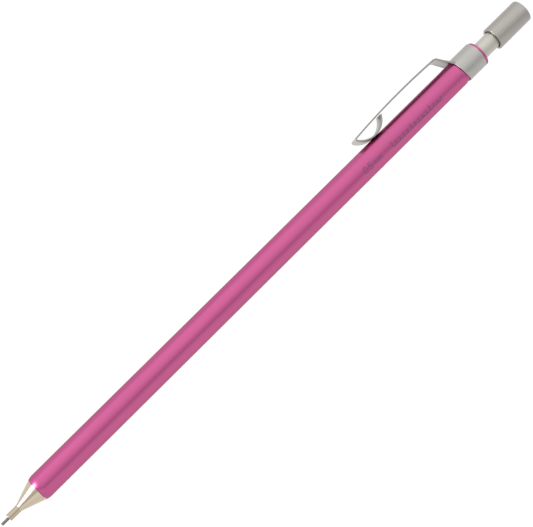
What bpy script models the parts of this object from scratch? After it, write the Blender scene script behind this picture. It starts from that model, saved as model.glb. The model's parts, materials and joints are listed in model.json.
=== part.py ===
"""Slim push-button mechanical pencil for 0.5 mm leads, lying on a table.

Every piece is modelled about the pencil's own axis. Local X runs along that axis, from the barrel's front
edge (x = 0) towards the push cap; local Y points at the clip and local Z at the side beside it.
One empty carries the axis: it lies over the table, rolled until the clip's edge touches the table too.
Outlines are (station along the axis, distance from the axis), in metres.
"""

import math

import bmesh
import bpy
from mathutils import Vector

MM = 0.001

# Fits
CONTACT_GAP = 0.05 * MM
RUNNING_GAP = 0.03 * MM
LEAD_FIT = 0.02 * MM
LINER_FIT = 0.025 * MM

# Roundings of turned, moulded and drawn edges
BURRED_EDGE = 0.05 * MM
FINE_EDGE = 0.1 * MM
MOULDED_EDGE = 0.15 * MM

# Lead: 0.5 mm nominal leads measure 0.56 mm
LEAD_RADIUS = 0.28 * MM
LEAD_TIP = -8.31 * MM
LEAD_IN_USE_LENGTH = 26.0 * MM
SPARE_LEAD_LENGTH = 60.0 * MM
SPARE_LEAD_START = 42.0 * MM
SPARE_LEAD_COUNT = 3

# Tip cone and its screwed spigot
NOSE_FRONT = -6.73 * MM
NOSE_REAR = -4.35 * MM
NOSE_RADIUS = 0.71 * MM
NOSE_EDGE = 0.12 * MM
NOSE_FILLET = 1.6 * MM
CONE_BASE_RADIUS = 2.27 * MM
SPIGOT_RADIUS = 2.04 * MM
SPIGOT_END = 4.9 * MM
CHUCK_CAVITY_RADIUS = 1.6 * MM
CHUCK_CAVITY_FRONT = 0.3 * MM
RETAINER_SEAT_RADIUS = 0.9 * MM
RETAINER_SEAT_FRONT = -3.0 * MM
RETAINER_SEAT_REAR = -0.4 * MM
RETAINER_FUNNEL = 0.6 * MM

# Barrel
BARREL_RADIUS = 2.5 * MM
BARREL_END = 112.5 * MM
FRONT_ROUNDING_LENGTH = 0.8 * MM
FRONT_BORE_RADIUS = 2.1 * MM
FRONT_BORE_DEPTH = 8.1 * MM
MAIN_BORE_RADIUS = 1.95 * MM
REAR_BORE_RADIUS = 2.1 * MM
REAR_BORE_START = 109.0 * MM
NECK_RADIUS = 2.36 * MM
NECK_TAPER_START = 107.2 * MM
NECK_START = 108.0 * MM

# Chuck sleeve, clutch ring and return spring
SLEEVE_FRONT = SPIGOT_END + 2 * CONTACT_GAP
SLEEVE_FLANGE_RADIUS = 2.05 * MM
SLEEVE_RADIUS = 1.9 * MM
SLEEVE_END = 17.0 * MM
SLEEVE_CHAMBER_RADIUS = 1.65 * MM
RING_SEAT_RADIUS = 1.79 * MM
RING_SEAT_REAR = 7.0 * MM
BULKHEAD_REAR = 7.8 * MM
BULKHEAD_HOLE_RADIUS = 1.0 * MM
RING_FRONT = 5.52 * MM
RING_RADIUS = 1.75 * MM
RING_BORE_RADIUS = 1.02 * MM
SPRING_COIL_RADIUS = 1.3 * MM
SPRING_WIRE_RADIUS = 0.11 * MM
SPRING_FREE_TURNS = 9
SPRING_END_TURNS = 1.25
SPRING_CLOSED_PITCH = 2.4 * SPRING_WIRE_RADIUS
SPRING_STEPS_PER_TURN = 12

# Chuck
CHUCK_HEAD_FRONT = 3.4 * MM
CHUCK_HEAD_RADIUS = 1.2 * MM
CHUCK_FACE_RADIUS = 0.95 * MM
CHUCK_HEAD_WIDE_START = 3.9 * MM
CHUCK_TAPER_START = 4.6 * MM
CHUCK_TAPER_END = 6.4 * MM
JAW_STEM_RADIUS = 0.8 * MM
JAW_ROOT = 11.0 * MM
JAW_RELIEF_RADIUS = 0.45 * MM
JAW_GRIP_REAR = 6.0 * MM
JAW_RELIEF_SLOPE = 0.3 * MM
JAW_COUNT = 3
JAW_SLOT_ANGLE = math.radians(14.0)
CHUCK_STEM_RADIUS = 0.85 * MM
CHUCK_THREAD_RADIUS = 0.97 * MM
CHUCK_END = 19.0 * MM

# Connector and lead tube
CONNECTOR_FRONT = 16.0 * MM
CONNECTOR_RADIUS = 1.55 * MM
CONNECTOR_BORE_RADIUS = 0.5 * MM
CONNECTOR_FLANGE_START = 19.8 * MM
CONNECTOR_FLANGE_END = 20.4 * MM
CONNECTOR_END = 24.5 * MM
FUNNEL_RADIUS = 1.1 * MM
FUNNEL_DEPTH = 1.6 * MM
LEAD_TUBE_RADIUS = 1.725 * MM
LEAD_TUBE_BORE_RADIUS = 1.3 * MM
LEAD_TUBE_END = 122.0 * MM

# Tail ring
TAIL_RING_FRONT = BARREL_END + 2 * CONTACT_GAP
TAIL_RING_REAR = 113.05 * MM
TAIL_RING_RADIUS = 2.57 * MM
TAIL_RING_BORE_RADIUS = 1.78 * MM
TAIL_SPIGOT_START = 109.6 * MM
TAIL_RING_FRONT_EDGE = 0.08 * MM

# Push cap, its liner and the eraser
CAP_MOUTH = 117.0 * MM
CAP_END = 125.2 * MM
CAP_RADIUS = 2.33 * MM
CAP_WALL = 0.2 * MM
CAP_TOP_WALL = 0.3 * MM
CAP_TOP_EDGE = 0.25 * MM
CAP_LIP_RADIUS = 1.87 * MM
CAP_LIP_DEPTH = 0.6 * MM
CAP_INNER_EDGE = 0.2 * MM
CAP_MOUTH_INNER_EDGE = 0.06 * MM
LINER_FRONT = 118.4 * MM
LINER_END = 122.4 * MM
ERASER_START = 119.2 * MM
ERASER_END = 123.6 * MM
ERASER_EDGE = 0.4 * MM
LINER_EDGE = 0.08 * MM

# Clip band: a ring set a little towards the clip, its front edge further back opposite the clip
BAND_RADIUS = 2.685 * MM
BAND_OFFSET = 0.115 * MM
BAND_WALL = 0.145 * MM
BAND_FRONT = 107.46 * MM
BAND_FRONT_SLANT = 0.8 * MM
BAND_SLANT_POWER = 4
BAND_REAR = BARREL_END + CONTACT_GAP
BAND_REAR_EDGE = 0.12 * MM

# Clip arm: neck, long bowed strip, fold and round bow, all one ribbon
CLIP_THICKNESS = 0.32 * MM
CLIP_FOOT = (107.28 * MM, 2.70 * MM)
CLIP_BEND_STATION = 105.35 * MM
CLIP_BEND_ROUNDING = 1.0 * MM
CLIP_TOP_STATION = 96.8 * MM
CLIP_TOP_HEIGHT = 5.2 * MM
CLIP_STRIP_CURVE = 0.0036 / MM
CLIP_FOLD_STATION = 83.45 * MM
CLIP_FOLD_ROUNDING = 0.2 * MM
CLIP_STRIP_END = 84.35 * MM
CLIP_STRIP_STEPS = 12
CLIP_BOW_STEPS = 14
CLIP_BOW_CENTRE = (87.25 * MM, 7.11 * MM)
CLIP_BOW_RADIUS = 4.42 * MM
CLIP_BOW_START = 83.8 * MM
CLIP_BOW_END = 91.0 * MM
CLIP_FOOT_HALF_WIDTH = 2.2 * MM
CLIP_HALF_WIDTH = 1.8 * MM

# Round pieces are polygons with this many sides
OUTER_SIDES = 40
INNER_SIDES = 24
LEAD_SIDES = 12
ARC_STEPS = 3
MERGE_DISTANCE = 0.00001 * MM
SMOOTH_ANGLE = math.radians(32.0)

# The pencil rests on the band and on the lower edge of the clip's strip, with the middle of its box at 0, 0
CLIP_EDGE_HEIGHT = CLIP_TOP_HEIGHT + CLIP_THICKNESS / 2
CLIP_EDGE_REACH = math.hypot(CLIP_EDGE_HEIGHT, CLIP_HALF_WIDTH)
AXIS_HEIGHT = BAND_RADIUS
ROLL = math.asin(AXIS_HEIGHT / CLIP_EDGE_REACH) - math.atan2(CLIP_HALF_WIDTH, CLIP_EDGE_HEIGHT)
CLIP_SIDE_REACH = CLIP_EDGE_HEIGHT * math.cos(ROLL) + CLIP_HALF_WIDTH * math.sin(ROLL)
PLAIN_SIDE_REACH = BAND_RADIUS - BAND_OFFSET
AXIS_MIDDLE = (LEAD_TIP + CAP_END) / 2

MATERIALS = {
    "pink_anodised_aluminium": ((0.60, 0.10, 0.28), 0.30, 0.9),
    "nickel_plated_brass": ((0.66, 0.60, 0.50), 0.18, 1.0),
    "plain_brass": ((0.72, 0.53, 0.25), 0.30, 1.0),
    "satin_stainless_steel": ((0.55, 0.54, 0.52), 0.35, 1.0),
    "satin_nickel": ((0.48, 0.46, 0.44), 0.38, 1.0),
    "spring_steel": ((0.45, 0.45, 0.46), 0.25, 1.0),
    "clear_anodised_aluminium": ((0.58, 0.56, 0.52), 0.42, 1.0),
    "white_acetal": ((0.78, 0.78, 0.76), 0.45, 0.0),
    "black_rubber": ((0.03, 0.03, 0.03), 0.70, 0.0),
    "white_eraser_vinyl": ((0.85, 0.84, 0.81), 0.80, 0.0),
    "graphite": ((0.07, 0.07, 0.075), 0.40, 0.2),
}


def clear_scene():
    for old in list(bpy.data.objects):
        bpy.data.objects.remove(old, do_unlink=True)


def make_material(name):
    """A plain finish: base colour, roughness and metallic value from the table above."""
    colour, roughness, metallic = MATERIALS[name]
    material = bpy.data.materials.new(name)
    material.use_nodes = True
    surface = material.node_tree.nodes["Principled BSDF"]
    surface.inputs["Base Color"].default_value = (*colour, 1.0)
    surface.inputs["Roughness"].default_value = roughness
    surface.inputs["Metallic"].default_value = metallic
    material.diffuse_color = (*colour, 1.0)
    return material


def make_axis():
    """The empty that every piece hangs on: the pencil's axis, over the table and rolled onto the clip."""
    axis = bpy.data.objects.new("pencil_axis", None)
    axis.location = (-AXIS_MIDDLE, (PLAIN_SIDE_REACH - CLIP_SIDE_REACH) / 2, AXIS_HEIGHT)
    axis.rotation_euler = (-ROLL, 0.0, 0.0)
    bpy.context.scene.collection.objects.link(axis)
    return axis


def finish(name, shape, material, axis, origin=(0.0, 0.0, 0.0)):
    """Close a bmesh into a named object on the axis, with its origin where its joint is."""
    bmesh.ops.remove_doubles(shape, verts=shape.verts, dist=MERGE_DISTANCE)
    bmesh.ops.recalc_face_normals(shape, faces=shape.faces)
    bmesh.ops.translate(shape, verts=shape.verts, vec=-Vector(origin))
    mesh = bpy.data.meshes.new(name)
    shape.to_mesh(mesh)
    shape.free()
    mesh.materials.append(bpy.data.materials[material])
    mesh.shade_smooth()
    mesh.set_sharp_from_angle(angle=SMOOTH_ANGLE)
    piece = bpy.data.objects.new(name, mesh)
    piece.location = origin
    piece.parent = axis
    bpy.context.scene.collection.objects.link(piece)
    return piece


def rounded(corners, closed=True):
    """An outline through corners (station, radius, rounding): each corner is an arc of its rounding."""
    points = []
    for index, (station, radius, rounding) in enumerate(corners):
        corner = Vector((station, radius))
        at_end = not closed and index in (0, len(corners) - 1)
        if at_end or rounding == 0:
            points.append(corner)
            continue
        back = (Vector(corners[index - 1][:2]) - corner).normalized()
        onward = (Vector(corners[(index + 1) % len(corners)][:2]) - corner).normalized()
        half = back.angle(onward) / 2
        centre = corner + (back + onward).normalized() * rounding / math.sin(half)
        start = corner + back * rounding / math.tan(half) - centre
        end = corner + onward * rounding / math.tan(half) - centre
        for step in range(ARC_STEPS + 1):
            points.append(centre + start.slerp(end, step / ARC_STEPS) * rounding)
    return points


def arc(centre, radius, start, end, steps=ARC_STEPS):
    """Points along an arc, its angles measured from the axis's own direction."""
    angles = [start + (end - start) * step / steps for step in range(steps + 1)]
    return [Vector((centre[0] + radius * math.cos(a), centre[1] + radius * math.sin(a))) for a in angles]


def spun(outline, sides, start=0.0, angle=2 * math.pi):
    """Spin an outline about the axis. One that starts and ends on the axis is left open there."""
    shape = bmesh.new()
    turn = [(p.x, p.y * math.cos(start), p.y * math.sin(start)) for p in outline]
    verts = [shape.verts.new(point) for point in turn]
    edges = [shape.edges.new(pair) for pair in zip(verts, verts[1:])]
    if outline[0].y > MERGE_DISTANCE:
        edges.append(shape.edges.new((verts[-1], verts[0])))
    bmesh.ops.spin(
        shape,
        geom=verts + edges,
        cent=(0.0, 0.0, 0.0),
        axis=(1.0, 0.0, 0.0),
        angle=angle,
        steps=sides,
        use_merge=angle == 2 * math.pi,
    )
    return shape


def rings_joined(rings):
    """A closed tube whose cross-section loops are bridged in order, the last one back to the first."""
    shape = bmesh.new()
    loops = [[shape.verts.new(point) for point in ring] for ring in rings]
    for near, far in zip(loops, loops[1:] + loops[:1]):
        for i in range(len(near)):
            shape.faces.new((near[i - 1], near[i], far[i], far[i - 1]))
    return shape


def make_barrel(axis):
    """Anodised tube: rounded front edge, stepped bore, and a neck at the rear for the clip band."""
    drop = BARREL_RADIUS - CONE_BASE_RADIUS
    sweep_radius = (FRONT_ROUNDING_LENGTH**2 + drop**2) / (2 * drop)
    lean = math.asin(FRONT_ROUNDING_LENGTH / sweep_radius)
    centre = (FRONT_ROUNDING_LENGTH, BARREL_RADIUS - sweep_radius)
    front = arc(centre, sweep_radius, math.pi / 2 + lean, math.pi / 2)
    rest = rounded([
        (NECK_TAPER_START, BARREL_RADIUS, 0),
        (NECK_START, NECK_RADIUS, 0),
        (BARREL_END, NECK_RADIUS, 0),
        (BARREL_END, REAR_BORE_RADIUS, 0),
        (REAR_BORE_START, REAR_BORE_RADIUS, 0),
        (REAR_BORE_START, MAIN_BORE_RADIUS, 0),
        (FRONT_BORE_DEPTH, MAIN_BORE_RADIUS, 0),
        (FRONT_BORE_DEPTH, FRONT_BORE_RADIUS, 0),
        (0.0, FRONT_BORE_RADIUS, 0),
    ])
    return finish("barrel", spun(front + rest, OUTER_SIDES), "pink_anodised_aluminium", axis)


def make_tip_cone(axis):
    """Turned tip: straight nose, cone, and a screwed spigot; bored for lead, retainer and chuck."""
    lead_bore = LEAD_RADIUS + RUNNING_GAP
    outline = rounded([
        (NOSE_FRONT, lead_bore, 0),
        (NOSE_FRONT, NOSE_RADIUS, NOSE_EDGE),
        (NOSE_REAR, NOSE_RADIUS, NOSE_FILLET),
        (-CONTACT_GAP, CONE_BASE_RADIUS, 0),
        (-CONTACT_GAP, SPIGOT_RADIUS, 0),
        (SPIGOT_END, SPIGOT_RADIUS, MOULDED_EDGE),
        (SPIGOT_END, CHUCK_CAVITY_RADIUS, 0),
        (CHUCK_CAVITY_FRONT, CHUCK_CAVITY_RADIUS, 0),
        (RETAINER_SEAT_REAR, RETAINER_SEAT_RADIUS, 0),
        (RETAINER_SEAT_FRONT, RETAINER_SEAT_RADIUS, 0),
        (RETAINER_SEAT_FRONT, lead_bore, 0),
    ])
    return finish("tip_cone", spun(outline, OUTER_SIDES), "nickel_plated_brass", axis)


def make_lead_retainer(axis):
    """Rubber bush in the tip cone, which brakes the lead."""
    outline = rounded([
        (RETAINER_SEAT_FRONT + 2 * CONTACT_GAP, LEAD_RADIUS + LEAD_FIT, 0),
        (RETAINER_SEAT_FRONT + 2 * CONTACT_GAP, RETAINER_SEAT_RADIUS - RUNNING_GAP, 0),
        (RETAINER_SEAT_REAR - 2 * CONTACT_GAP, RETAINER_SEAT_RADIUS - RUNNING_GAP, 0),
        (RETAINER_SEAT_REAR - 2 * CONTACT_GAP, RETAINER_FUNNEL, 0),
        (RETAINER_SEAT_REAR - RETAINER_FUNNEL, LEAD_RADIUS + LEAD_FIT, 0),
    ])
    return finish("lead_retainer", spun(outline, INNER_SIDES), "black_rubber", axis)


def lead_shape(start, length):
    """A stick of lead on the axis, its ends just broken."""
    outline = rounded([
        (start, 0.0, 0),
        (start, LEAD_RADIUS, BURRED_EDGE),
        (start + length, LEAD_RADIUS, 0),
        (start + length, 0.0, 0),
    ], closed=False)
    return spun(outline, LEAD_SIDES)


def make_lead(axis):
    """The lead in use, from the nose back through the chuck."""
    return finish("lead", lead_shape(LEAD_TIP, LEAD_IN_USE_LENGTH), "graphite", axis)


def make_spare_leads(axis):
    """Spare leads side by side on the floor of the lead tube."""
    ride = LEAD_TUBE_BORE_RADIUS - LEAD_RADIUS - RUNNING_GAP
    step = 2 * math.asin((LEAD_RADIUS + RUNNING_GAP) / ride)
    for number in range(SPARE_LEAD_COUNT):
        angle = (number - (SPARE_LEAD_COUNT - 1) / 2) * step - math.pi / 2
        shape = lead_shape(SPARE_LEAD_START, SPARE_LEAD_LENGTH)
        offset = Vector((0.0, ride * math.cos(angle), ride * math.sin(angle)))
        bmesh.ops.translate(shape, verts=shape.verts, vec=offset)
        finish(f"spare_lead_{number + 1}", shape, "graphite", axis)


def make_chuck_body(axis):
    """Rear of the collet: a brass stem screwed into the connector."""
    outline = rounded([
        (JAW_ROOT + CONTACT_GAP, JAW_RELIEF_RADIUS, 0),
        (JAW_ROOT + CONTACT_GAP, CHUCK_STEM_RADIUS, 0),
        (CONNECTOR_FRONT, CHUCK_STEM_RADIUS, 0),
        (CONNECTOR_FRONT, CHUCK_THREAD_RADIUS, 0),
        (CHUCK_END, CHUCK_THREAD_RADIUS, 0),
        (CHUCK_END, JAW_RELIEF_RADIUS, 0),
    ])
    return finish("chuck_body", spun(outline, INNER_SIDES), "plain_brass", axis)


def make_chuck_jaws(axis):
    """Front of the collet, slit in three. Each jaw springs open about its root."""
    outline = rounded([
        (CHUCK_HEAD_FRONT, LEAD_RADIUS + LEAD_FIT, 0),
        (CHUCK_HEAD_FRONT, CHUCK_FACE_RADIUS, 0),
        (CHUCK_HEAD_WIDE_START, CHUCK_HEAD_RADIUS, 0),
        (CHUCK_TAPER_START, CHUCK_HEAD_RADIUS, 0),
        (CHUCK_TAPER_END, JAW_STEM_RADIUS, 0),
        (JAW_ROOT, JAW_STEM_RADIUS, 0),
        (JAW_ROOT, JAW_RELIEF_RADIUS, 0),
        (JAW_GRIP_REAR, JAW_RELIEF_RADIUS, 0),
        (JAW_GRIP_REAR - JAW_RELIEF_SLOPE, LEAD_RADIUS + LEAD_FIT, 0),
    ])
    share = 2 * math.pi / JAW_COUNT
    hinge_radius = (JAW_STEM_RADIUS + JAW_RELIEF_RADIUS) / 2
    for number in range(JAW_COUNT):
        middle = number * share + math.pi / 2
        start = middle - (share - JAW_SLOT_ANGLE) / 2
        shape = spun(outline, INNER_SIDES // JAW_COUNT, start, share - JAW_SLOT_ANGLE)
        bmesh.ops.holes_fill(shape, edges=shape.edges, sides=0)
        hinge = (JAW_ROOT, hinge_radius * math.cos(middle), hinge_radius * math.sin(middle))
        finish(f"chuck_jaw_{number + 1}", shape, "plain_brass", axis, hinge)


def make_clutch_ring(axis):
    """Brass ring round the jaws' taper, which holds them shut."""
    rear = RING_SEAT_REAR - CONTACT_GAP
    outline = rounded([
        (RING_FRONT, RING_BORE_RADIUS, 0),
        (RING_FRONT, RING_RADIUS, FINE_EDGE),
        (rear, RING_RADIUS, FINE_EDGE),
        (rear, RING_BORE_RADIUS, 0),
    ])
    return finish("clutch_ring", spun(outline, INNER_SIDES), "plain_brass", axis)


def make_chuck_sleeve(axis):
    """Sleeve in the barrel's front: ring seat, bulkhead, and the chamber that the spring stands in."""
    flange_end = FRONT_BORE_DEPTH - CONTACT_GAP
    outline = rounded([
        (SLEEVE_FRONT, RING_SEAT_RADIUS, 0),
        (SLEEVE_FRONT, SLEEVE_FLANGE_RADIUS, 0),
        (flange_end, SLEEVE_FLANGE_RADIUS, 0),
        (flange_end, SLEEVE_RADIUS, 0),
        (SLEEVE_END, SLEEVE_RADIUS, 0),
        (SLEEVE_END, SLEEVE_CHAMBER_RADIUS, 0),
        (BULKHEAD_REAR, SLEEVE_CHAMBER_RADIUS, 0),
        (BULKHEAD_REAR, BULKHEAD_HOLE_RADIUS, 0),
        (RING_SEAT_REAR, BULKHEAD_HOLE_RADIUS, 0),
        (RING_SEAT_REAR, RING_SEAT_RADIUS, 0),
    ])
    return finish("chuck_sleeve", spun(outline, OUTER_SIDES), "plain_brass", axis)


def make_return_spring(axis):
    """Coil spring between the sleeve's bulkhead and the connector, with closed end turns."""
    front = BULKHEAD_REAR + SPRING_WIRE_RADIUS + CONTACT_GAP
    rear = CONNECTOR_FRONT - SPRING_WIRE_RADIUS - CONTACT_GAP
    closed_rise = SPRING_END_TURNS * SPRING_CLOSED_PITCH
    open_pitch = (rear - front - 2 * closed_rise) / SPRING_FREE_TURNS
    turns = SPRING_FREE_TURNS + 2 * SPRING_END_TURNS
    count = round(turns * SPRING_STEPS_PER_TURN)
    curve = bpy.data.curves.new("return_spring", "CURVE")
    curve.dimensions = "3D"
    curve.bevel_depth = SPRING_WIRE_RADIUS
    curve.bevel_resolution = 1
    curve.use_fill_caps = True
    wire = curve.splines.new("POLY")
    wire.points.add(count)
    for index, point in enumerate(wire.points):
        turn = turns * index / count
        in_front = min(turn, SPRING_END_TURNS)
        behind = max(turn - SPRING_END_TURNS - SPRING_FREE_TURNS, 0.0)
        between = turn - in_front - behind
        station = front + (in_front + behind) * SPRING_CLOSED_PITCH + between * open_pitch
        angle = 2 * math.pi * turn
        point.co = (
            station,
            SPRING_COIL_RADIUS * math.cos(angle),
            SPRING_COIL_RADIUS * math.sin(angle),
            1.0,
        )
    curve.materials.append(bpy.data.materials["spring_steel"])
    spring = bpy.data.objects.new("return_spring", curve)
    spring.parent = axis
    bpy.context.scene.collection.objects.link(spring)
    return spring


def make_tube_connector(axis):
    """Moulded joint between the chuck and the lead tube, with a funnel for the next lead."""
    thread_bore = CHUCK_THREAD_RADIUS + RUNNING_GAP
    spigot = LEAD_TUBE_BORE_RADIUS - RUNNING_GAP
    outline = rounded([
        (CONNECTOR_FRONT + CONTACT_GAP, thread_bore, 0),
        (CONNECTOR_FRONT + CONTACT_GAP, CONNECTOR_RADIUS, FINE_EDGE),
        (CONNECTOR_FLANGE_START, CONNECTOR_RADIUS, 0),
        (CONNECTOR_FLANGE_START, LEAD_TUBE_RADIUS, 0),
        (CONNECTOR_FLANGE_END, LEAD_TUBE_RADIUS, 0),
        (CONNECTOR_FLANGE_END, spigot, 0),
        (CONNECTOR_END, spigot, MOULDED_EDGE),
        (CONNECTOR_END, FUNNEL_RADIUS, 0),
        (CONNECTOR_END - FUNNEL_DEPTH, CONNECTOR_BORE_RADIUS, 0),
        (CHUCK_END + CONTACT_GAP, CONNECTOR_BORE_RADIUS, 0),
        (CHUCK_END + CONTACT_GAP, thread_bore, 0),
    ])
    return finish("tube_connector", spun(outline, INNER_SIDES), "white_acetal", axis)


def make_lead_tube(axis):
    """Long reservoir tube. Its rear end is the pale stem between the tail ring and the cap."""
    front = CONNECTOR_FLANGE_END + CONTACT_GAP
    outline = rounded([
        (front, LEAD_TUBE_BORE_RADIUS, 0),
        (front, LEAD_TUBE_RADIUS, 0),
        (LEAD_TUBE_END, LEAD_TUBE_RADIUS, MOULDED_EDGE),
        (LEAD_TUBE_END, LEAD_TUBE_BORE_RADIUS, 0),
    ])
    return finish("lead_tube", spun(outline, OUTER_SIDES), "clear_anodised_aluminium", axis)


def make_eraser(axis):
    """Small round eraser pushed into the lead tube's end."""
    radius = LEAD_TUBE_BORE_RADIUS - RUNNING_GAP
    outline = rounded([
        (ERASER_START, 0.0, 0),
        (ERASER_START, radius, MOULDED_EDGE),
        (ERASER_END, radius, ERASER_EDGE),
        (ERASER_END, 0.0, 0),
    ], closed=False)
    return finish("eraser", spun(outline, INNER_SIDES), "white_eraser_vinyl", axis)


def make_cap_liner(axis):
    """Plastic bush pressed into the push cap, which grips the lead tube."""
    bore = LEAD_TUBE_RADIUS + LINER_FIT
    radius = CAP_RADIUS - CAP_WALL - RUNNING_GAP
    outline = rounded([
        (LINER_FRONT, bore, LINER_EDGE),
        (LINER_FRONT, radius, 0),
        (LINER_END, radius, 0),
        (LINER_END, bore, 0),
    ])
    return finish("cap_liner", spun(outline, OUTER_SIDES), "white_acetal", axis)


def make_push_cap(axis):
    """Drawn metal cap: thin wall, its mouth turned in as a lip, flat closed end with a rounded edge."""
    bore = CAP_RADIUS - CAP_WALL
    outline = rounded([
        (CAP_END - CAP_TOP_WALL, 0.0, 0),
        (CAP_END - CAP_TOP_WALL, bore, CAP_INNER_EDGE),
        (CAP_MOUTH + CAP_LIP_DEPTH, bore, 0),
        (CAP_MOUTH + CAP_LIP_DEPTH, CAP_LIP_RADIUS, 0),
        (CAP_MOUTH, CAP_LIP_RADIUS, CAP_MOUTH_INNER_EDGE),
        (CAP_MOUTH, CAP_RADIUS, FINE_EDGE),
        (CAP_END, CAP_RADIUS, CAP_TOP_EDGE),
        (CAP_END, 0.0, 0),
    ], closed=False)
    return finish("push_cap", spun(outline, OUTER_SIDES), "satin_nickel", axis)


def make_tail_ring(axis):
    """Anodised ring behind the band. Its spigot sits in the barrel and guides the lead tube."""
    spigot = REAR_BORE_RADIUS - RUNNING_GAP
    outline = rounded([
        (TAIL_SPIGOT_START, TAIL_RING_BORE_RADIUS, 0),
        (TAIL_SPIGOT_START, spigot, 0),
        (TAIL_RING_FRONT, spigot, 0),
        (TAIL_RING_FRONT, TAIL_RING_RADIUS, TAIL_RING_FRONT_EDGE),
        (TAIL_RING_REAR, TAIL_RING_RADIUS, MOULDED_EDGE),
        (TAIL_RING_REAR, TAIL_RING_BORE_RADIUS, 0),
    ])
    return finish("tail_ring", spun(outline, OUTER_SIDES), "pink_anodised_aluminium", axis)


def band_ring(radius, station, slanted):
    """One loop of the band. The front edge lies further back the further it is from the clip."""
    points = []
    for side in range(OUTER_SIDES):
        angle = 2 * math.pi * side / OUTER_SIDES
        away_from_clip = (1 - math.cos(angle)) / 2
        x = station + (BAND_FRONT_SLANT * away_from_clip**BAND_SLANT_POWER if slanted else 0.0)
        points.append((x, BAND_OFFSET + radius * math.cos(angle), radius * math.sin(angle)))
    return points


def make_clip_band(axis):
    """Band round the barrel's neck, held between the barrel's shoulder and the tail ring."""
    bore = BAND_RADIUS - BAND_WALL
    rings = [
        band_ring(bore, BAND_FRONT, True),
        band_ring(BAND_RADIUS - BURRED_EDGE, BAND_FRONT, True),
        band_ring(BAND_RADIUS, BAND_FRONT + BURRED_EDGE, True),
        band_ring(BAND_RADIUS, BAND_REAR - BAND_REAR_EDGE, False),
        band_ring(BAND_RADIUS - BAND_REAR_EDGE, BAND_REAR, False),
        band_ring(bore, BAND_REAR, False),
    ]
    return finish("clip_band", rings_joined(rings), "satin_stainless_steel", axis)


def strip_height(station):
    """Height of the strip's middle over the axis: a shallow bow, highest at CLIP_TOP_STATION."""
    return CLIP_TOP_HEIGHT - CLIP_STRIP_CURVE * (station - CLIP_TOP_STATION) ** 2


def bow_height(station):
    """Height of the round bow's middle over the axis."""
    across = station - CLIP_BOW_CENTRE[0]
    return CLIP_BOW_CENTRE[1] - math.sqrt(CLIP_BOW_RADIUS**2 - across**2)


def clip_path():
    """Middle line of the ribbon: neck, strip, fold, bow, as points (station, height)."""
    corners = [
        (*CLIP_FOOT, 0),
        (CLIP_BEND_STATION, strip_height(CLIP_BEND_STATION), CLIP_BEND_ROUNDING),
    ]
    strip_length = CLIP_STRIP_END - CLIP_BEND_STATION
    bow_length = CLIP_BOW_END - CLIP_BOW_START
    for step in range(1, CLIP_STRIP_STEPS + 1):
        station = CLIP_BEND_STATION + strip_length * step / CLIP_STRIP_STEPS
        corners.append((station, strip_height(station), 0))
    corners.append((CLIP_FOLD_STATION, strip_height(CLIP_FOLD_STATION), CLIP_FOLD_ROUNDING))
    for step in range(CLIP_BOW_STEPS + 1):
        station = CLIP_BOW_START + bow_length * step / CLIP_BOW_STEPS
        corners.append((station, bow_height(station), 0))
    return rounded(corners, closed=False)


def clip_half_width(station):
    """Half the ribbon's width: constant along the strip, flaring down the neck to the band."""
    along_neck = (station - CLIP_BEND_STATION) / (CLIP_FOOT[0] - CLIP_BEND_STATION)
    flare = min(max(along_neck, 0.0), 1.0)
    return CLIP_HALF_WIDTH + (CLIP_FOOT_HALF_WIDTH - CLIP_HALF_WIDTH) * flare


def make_clip_arm(axis):
    """The clip's ribbon: a rectangular section carried along its path. It flexes about its foot."""
    path = clip_path()
    shape = bmesh.new()
    sections = []
    for index, point in enumerate(path):
        ahead = path[min(index + 1, len(path) - 1)]
        behind = path[max(index - 1, 0)]
        along = (ahead - behind).normalized()
        out = Vector((-along.y, along.x)) * CLIP_THICKNESS / 2
        half_width = clip_half_width(point.x)
        corners = [(point + out, 1), (point + out, -1), (point - out, -1), (point - out, 1)]
        sections.append([shape.verts.new((p.x, p.y, side * half_width)) for p, side in corners])
    for near, far in zip(sections, sections[1:]):
        for i in range(4):
            shape.faces.new((near[i - 1], near[i], far[i], far[i - 1]))
    shape.faces.new(sections[0])
    shape.faces.new(sections[-1])
    return finish("clip_arm", shape, "satin_stainless_steel", axis, (*CLIP_FOOT, 0.0))


def main():
    clear_scene()
    for name in MATERIALS:
        make_material(name)
    axis = make_axis()
    make_barrel(axis)
    make_tip_cone(axis)
    make_lead_retainer(axis)
    make_lead(axis)
    make_spare_leads(axis)
    make_chuck_body(axis)
    make_chuck_jaws(axis)
    make_clutch_ring(axis)
    make_chuck_sleeve(axis)
    make_return_spring(axis)
    make_tube_connector(axis)
    make_lead_tube(axis)
    make_eraser(axis)
    make_cap_liner(axis)
    make_push_cap(axis)
    make_tail_ring(axis)
    make_clip_band(axis)
    make_clip_arm(axis)


main()
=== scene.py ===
"""Looks of a slim push-button mechanical pencil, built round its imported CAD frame.

Every piece is worked out in the pencil's own axes: the station along its axis from the barrel's front edge
towards the push cap, the distance out towards the clip, and the distance to the side between the two.
Most pieces are turned, drawn or moulded round that axis. The clip is a folded strip.
"""

import json
import math

import bpy
import numpy as np
from bpy.props import FloatProperty, FloatVectorProperty, IntProperty, PointerProperty
from bpy.types import Operator, Panel, PropertyGroup
from mathutils import Matrix


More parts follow.
